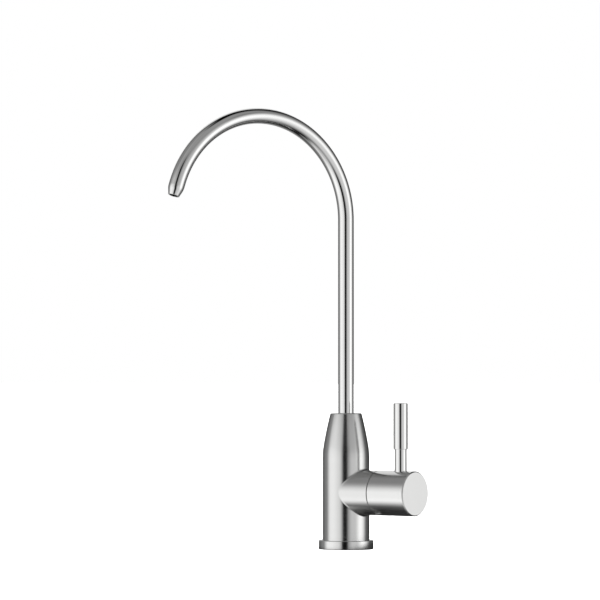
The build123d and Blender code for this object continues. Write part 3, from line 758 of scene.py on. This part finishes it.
handle = stitched("turned_handle", [
    *turned(handle_run + rim_run + floor_run + hub_run, valve_axis),
    *bored_wall(
        handle_radius, 1, lever_pocket_radius + lever_pocket_rim, grub_access_radius + grub_access_rim,
    ),
    *bored_wall(cavity_radius, -1, lever_thread_bore, grub_access_radius),
    *bored_wall(hub_radius, 1, lever_thread_bore, grub_thread_bore),
    *bore(lever_line, -1, (
        (lever_pocket_radius + lever_pocket_rim, 0, handle_radius),
        (lever_pocket_radius, lever_rim_depth, handle_radius, -1, -1),
        (lever_pocket_radius, -lever_pocket_floor, 0, -1, 0),
        (lever_thread_bore, -lever_pocket_floor, 0, 0, -1),
        (lever_thread_bore, 0, cavity_radius, -1, 0),
    )),
    *bore(lever_line, -1, (
        (lever_thread_bore, 0, hub_radius), (lever_thread_bore, -lever_thread_floor, 0, -1, 0),
        (0, -lever_thread_floor, 0, 0, -1),
    )),
    *bore(grub_line, 1, (
        (grub_access_radius + grub_access_rim, 0, handle_radius),
        (grub_access_radius, grub_access_rim, handle_radius, -1, -1),
        (grub_access_radius, 0, cavity_radius, -1, 0),
    )),
    *bore(grub_line, 1, (
        (grub_thread_bore, 0, hub_radius), (grub_thread_bore, -grub_thread_floor, 0, -1, 0),
        (0, -grub_thread_floor, 0, 0, -1),
    )),
])
handle.data.materials.append(brushed_steel(
    "brushed_handle", (0.59, 0.59, 0.585), (0.67, 0.67, 0.665),
    roughness=0.16, spread=0.08, scratch=0.12,
))
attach(handle, "handle_set")
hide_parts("handle")

# Lever: a stainless rod, turned to a slim stem with a thicker grip, and polished. The
# thread at its foot screws it into the handle's pocket.
lever_axis = straight((lever_line, 0, valve_height), (0, 0, 1), (1, 0, 0))
lever_foot = 5.5
lever_step = 33.3
lever_top = 68.1
lever_thread_radius = 3.0
lever_thread_chamfer = 0.4
stem_radius = 4.65
grip_radius = 5.5
grip_foot_round = 0.35
grip_top_round = 0.5
lever = stitched("turned_lever", turned(rounded([
    (0, lever_foot, 0), (lever_thread_radius, lever_foot, lever_thread_chamfer),
    (lever_thread_radius, lever_pocket_floor, 0), (stem_radius, lever_pocket_floor, 0),
    (stem_radius, lever_step, 0), (grip_radius, lever_step, grip_foot_round),
    (grip_radius, lever_top, grip_top_round), (0, lever_top, 0),
]), lever_axis, tube_angles))
lever.data.materials.append(brushed_steel(
    "polished_lever", (0.63, 0.63, 0.625), (0.70, 0.70, 0.695),
    roughness=0.06, spread=0.03, scratch=0.03,
))
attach(lever, "handle_set")
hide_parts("lever")


def finish_nodes(material, *names):
    """Gives CAD pieces that stay as they are their finish."""
    for name in names:
        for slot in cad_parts[name].material_slots:
            slot.material = material


# Valve: a brass housing screwed into the branch, and a brass spindle milled with a spline,
# both turned from hexagon and round bar.
finish_nodes(
    machined_brass(
        "valve_brass", (0.64, 0.48, 0.23), (0.82, 0.66, 0.37), valve_part=True, turned_piece=False,
    ),
    "valve_housing", "spindle",
)

# Ceramic discs: two lapped alumina discs that slide on each other. They are the white of
# fired clay, with a faint mottle, and shine like glass.
ceramic, ceramic_tree = blank("lapped_ceramic")
ceramic_place = Wire.node(ceramic_tree, "ShaderNodeTexCoord", output="Object")
mottle = noise(ceramic_tree, ceramic_place, scale=900.0, detail=3.0)
surface(ceramic_tree, {
    "Base Color": shades(ceramic_tree, mottle, (0.84, 0.83, 0.79), (0.91, 0.90, 0.88)),
    "Roughness": 0.08 + 0.1 * mottle,
})
finish_nodes(ceramic, "fixed_disc", "turning_disc")

# Seals and gaskets of moulded rubber: under the ring, at the shank, at the valve's nose,
# and the round rings on the spindle and the spout.
finish_nodes(
    rubber, "base_gasket", "shank_seal", "seat_seal", "inner_spindle_o_ring",
    "outer_spindle_o_ring", "lower_spout_o_ring", "upper_spout_o_ring",
)

# Fibre gasket: a ring punched from red vulcanised fibre, with the paper's grain. It is
# squeezed between the branch and the hexagon of the valve's housing.
fibre, fibre_tree = blank("red_fibre")
x, y, z = lathe_axes(fibre_tree, valve_part=True, turned_piece=False)
threads_place = vector_of(fibre_tree, x * 400.0, y * 2600.0, z * 900.0)
threads = noise(fibre_tree, threads_place, scale=1.0, detail=4.0, rough=0.65)
fibre_bump = Wire.node(
    fibre_tree, "ShaderNodeBump", {}, {"Strength": 0.4, "Distance": 0.00004, "Height": threads},
)
surface(fibre_tree, {
    "Base Color": shades(fibre_tree, threads, (0.34, 0.06, 0.04), (0.54, 0.15, 0.10)),
    "Roughness": 0.6 + 0.2 * threads, "Normal": fibre_bump,
})
finish_nodes(fibre, "housing_gasket")

# Slide washers: two rings turned from white acetal, slippery and slightly cloudy. One lies
# behind the spindle's driver, and the spout turns on the other.
acetal, acetal_tree = blank("white_acetal")
acetal_place = Wire.node(acetal_tree, "ShaderNodeTexCoord", output="Object")
haze = noise(acetal_tree, acetal_place, scale=320.0, detail=3.0)
surface(acetal_tree, {
    "Base Color": shades(acetal_tree, haze, (0.80, 0.80, 0.77), (0.90, 0.90, 0.88)),
    "Roughness": 0.32 + 0.16 * haze,
})
finish_nodes(acetal, "thrust_washer", "glide_washer")

# Spring clips: stamped from hardened strip, dark from the heat treatment. A clip holds the
# spindle in its housing, and an open ring keeps the spout in the body.
for spring_name, on_spindle, spring_node in (
    ("sprung_clip", True, "spindle_clip"), ("sprung_ring", False, "snap_ring"),
):
    finish_nodes(brushed_steel(
        spring_name, (0.30, 0.30, 0.31), (0.42, 0.42, 0.43),
        roughness=0.32, spread=0.16, scratch=0.15, valve_part=on_spindle, turned_piece=False,
    ), spring_node)

# Grub screw: stainless, cut from bar, with a hexagon socket. It goes in from under the
# handle, and holds the hub on the spindle.
finish_nodes(brushed_steel(
    "screw_steel", (0.42, 0.42, 0.42), (0.58, 0.58, 0.58),
    roughness=0.28, spread=0.14, scratch=0.15, turned_piece=False,
), "handle_grub_screw")

# The camera stands where the photograph was taken from: to the right of the front, a little
# above the top of the body. It looks at a point to the left of the tap, and its frame is as
# wide there as the photograph.
scene = bpy.context.scene
camera_turn = math.radians(37.0)
camera_distance = 2620.0
camera_height = 130.0
frame_width = 458.0
sensor_width = 36.0
aim_left = 35.06
aim_height = 189.8
aim = np.array([-aim_left * math.cos(camera_turn), -aim_left * math.sin(camera_turn), aim_height])
stand = np.array([
    camera_distance * math.sin(camera_turn), -camera_distance * math.cos(camera_turn), camera_height,
])
sight = aim - stand
sight_length = np.linalg.norm(sight)
camera_data = bpy.data.cameras.new("photo_camera")
camera_data.sensor_width = sensor_width
camera_data.lens = sensor_width * sight_length / frame_width
camera_data.clip_end = 200.0
camera = bpy.data.objects.new("photo_camera", camera_data)
camera.location = stand * mm
camera.rotation_euler = (
    math.pi / 2 + math.asin(sight[2] / sight_length), 0, math.atan2(-sight[0], sight[1]),
)
scene.collection.objects.link(camera)
scene.camera = camera
scene.view_settings.view_transform = "Standard"

# Floor: a wide white table. It is left out of what the metal mirrors: the glow of the soft
# lights and a dark sheet of painted shade stand for it there.
floor_reach = 60000.0
floor_lines = 41
floor_steps = np.linspace(-floor_reach, floor_reach, floor_lines)
floor_grid = np.zeros((floor_lines, floor_lines, 9))
floor_grid[..., 0], floor_grid[..., 1] = np.meshgrid(floor_steps, floor_steps)
floor_grid[..., 5] = 1                     # it faces up
floor = stitched("table_top", [floor_grid], crease=30)
table_white, floor_tree = blank("table_white")
floor_place = Wire.node(floor_tree, "ShaderNodeTexCoord", output="Object")
surface(floor_tree, {
    "Base Color": shades(floor_tree, noise(floor_tree, floor_place, scale=3.0), (0.88,) * 3, (0.90,) * 3),
    "Roughness": 0.9,
})
floor.data.materials.append(table_white)
floor.visible_glossy = False

# Painted shade: a round black sheet just under the table top, behind the tap. It stands in for
# the table's shade round the tap's foot as the metal mirrors it. Its edge fades out, and it
# shows only in the undersides of the handle and the branch.
shade_sheet_x, shade_sheet_y = 13.0, 41.0
shade_sheet_dark_reach = 40.0
shade_sheet_reach = 112.0
shade_sheet_depth = 0.5
shade_sheet_grid = np.zeros((2, 2, 9))
shade_sheet_grid[..., 0], shade_sheet_grid[..., 1] = np.meshgrid(
    (shade_sheet_x - shade_sheet_reach, shade_sheet_x + shade_sheet_reach), (shade_sheet_y - shade_sheet_reach, shade_sheet_y + shade_sheet_reach),
)
shade_sheet_grid[..., 2] = -shade_sheet_depth
shade_sheet_grid[..., 5] = 1                     # it faces up
shade_sheet = stitched("painted_shade_sheet", [shade_sheet_grid], crease=30)
# Its near-black colour, fading out towards the edge, is painted shade: the table's shade round the tap's
# foot, seen only in the metal's reflections.
shade_sheet_black, shade_sheet_tree = blank("shade_sheet_black")
x, y, z = lathe_axes(shade_sheet_tree, turned_piece=False)
shade_speckle = noise(shade_sheet_tree, vector_of(shade_sheet_tree, x, y, z), scale=900.0)
beside, behind = x - shade_sheet_x * mm, y - shade_sheet_y * mm
fading = Wire.node(shade_sheet_tree, "ShaderNodeMapRange", {"interpolation_type": "SMOOTHSTEP"}, {
    "Value": (beside * beside + behind * behind).maths("SQRT"),
    "From Min": shade_sheet_reach * mm, "From Max": shade_sheet_dark_reach * mm,
})
surface(shade_sheet_tree, {
    "Base Color": shades(shade_sheet_tree, shade_speckle, (0.005,) * 3, (0.02,) * 3), "Roughness": 0.95, "Alpha": fading,
})
shade_sheet.data.materials.append(shade_sheet_black)
shade_sheet.visible_camera = shade_sheet.visible_diffuse = shade_sheet.visible_shadow = False

# Overhead light: a broad soft lamp for the table, which makes it plain white, without the
# tap's shadow, as in the photograph. The metal mirrors the studio instead.
lamp_strength = 6.5
lamp_spread = 50.0
lamp_data = bpy.data.lights.new("overhead_light", "SUN")
lamp_data.energy = lamp_strength
lamp_data.angle = math.radians(lamp_spread)
lamp_data.use_shadow = False
lamp = bpy.data.objects.new("overhead_light", lamp_data)
lamp.visible_glossy = False
scene.collection.objects.link(lamp)

# Face light: a small soft box that lights only the handle, and shows in its end face. It
# stands where the camera's rays go after that face.
box_size = 70.0
box_distance = 90.0
box_drop_share = 0.03
box_power = 0.011
face_centre = np.array([handle_ends[1], 0, valve_height])
box_direction = np.array([math.sin(camera_turn), math.cos(camera_turn), -box_drop_share])
box_data = bpy.data.lights.new("face_light", "AREA")
box_data.size = box_size * mm
box_data.energy = box_power
box = bpy.data.objects.new("face_light", box_data)
box.location = (face_centre + box_distance * box_direction) * mm
box.rotation_euler = (-math.pi / 2, 0, -camera_turn)
box.visible_camera = False
box_receivers = bpy.data.collections.new("face_light_receivers")
box_receivers.objects.link(handle)
box.light_linking.receiver_collection = box_receivers
scene.collection.objects.link(box)

# Studio: what the polished metal mirrors, by direction. Tall soft lights stand left and
# right of the camera, with a black gap between them. Weaker light comes from above and from
# behind the tap, and the walls at its sides are dim. The camera sees plain white round it.
studio = bpy.data.worlds.new("studio")
scene.world = studio
studio.use_nodes = True
sky = studio.node_tree
sky.nodes.clear()
# (brightness, degrees to the right of the camera; half width at full brightness and where it
# has faded; heights in degrees where the light begins, is full, still is full, and ends)
soft_lights = (
    (1.03, -57, 24, 53, -63, -21, 1, 45),       # left light
    (0.72, -44, 27, 67, -82, -70, -56, -12),    # its glow on the table
    (0.88, 50, 19, 59, -81, -26, -5, 43),       # right light
    (0.80, 82, 7, 38, -44, -4, 5, 44),          # the right light's far side
    (0.22, -9, 60, 70, 11, 23, 9, 69),          # wall above the camera
    (0.38, 27, 50, 110, 9, 59, 74, 84),         # ceiling
    (0.96, -172, 14, 33, 7, 19, 42, 62),        # high light behind the tap
    (0.45, -176, 10, 44, -77, -17, -12, 28),    # its glow on the back wall
    (0.32, -90, 23, 68, -133, -74, 72, 91),     # left wall
    (0.14, 108, 19, 41, -122, -79, 37, 55),     # right wall
)
black_gap = (0.93, -5, 8, 15, -45, -20, 34, 46)
sky_split = sky.nodes.new("ShaderNodeSeparateXYZ")
sky.links.new(Wire.node(sky, "ShaderNodeTexCoord", output="Generated").socket, sky_split.inputs[0])
east, north, rise = (Wire(socket) for socket in sky_split.outputs)
ahead = math.sin(camera_turn) * east - math.cos(camera_turn) * north
right = math.cos(camera_turn) * east + math.sin(camera_turn) * north
bearing = right.maths("ARCTAN2", ahead) * math.degrees(1)
elevation = rise.maths("ARCSINE") * math.degrees(1)


def fade(wire, none, full):
    """0 on one side of the first value, 1 beyond the second, and smooth between."""
    sockets = {"Value": wire, "From Min": none, "From Max": full}
    return Wire.node(sky, "ShaderNodeMapRange", {"interpolation_type": "SMOOTHSTEP"}, sockets)


def soft_light(brightness, middle, full_side, dark_side, foot, low, high, top):
    """Brightness of one soft light in each direction: its own, times its fading to the sides,
    at its foot and at its top."""
    turned_away = Wire.node(
        sky, "ShaderNodeMath", {"operation": "WRAP"}, {0: bearing - middle, 1: 180.0, 2: -180.0},
    ).maths("ABSOLUTE")
    sideways = fade(turned_away, dark_side, full_side)
    return brightness * (sideways * fade(elevation, foot, low) * fade(elevation, top, high))


mirrored = sum(soft_light(*light) for light in soft_lights) * (1.0 - soft_light(*black_gap))
seen = Wire.node(sky, "ShaderNodeLightPath", output="Is Camera Ray")
brightness = mirrored * (1.0 - seen) + seen
background = Wire.node(sky, "ShaderNodeBackground", {}, {"Color": (1, 1, 1, 1), "Strength": brightness})
Wire.node(sky, "ShaderNodeOutputWorld", {}, {"Surface": background})
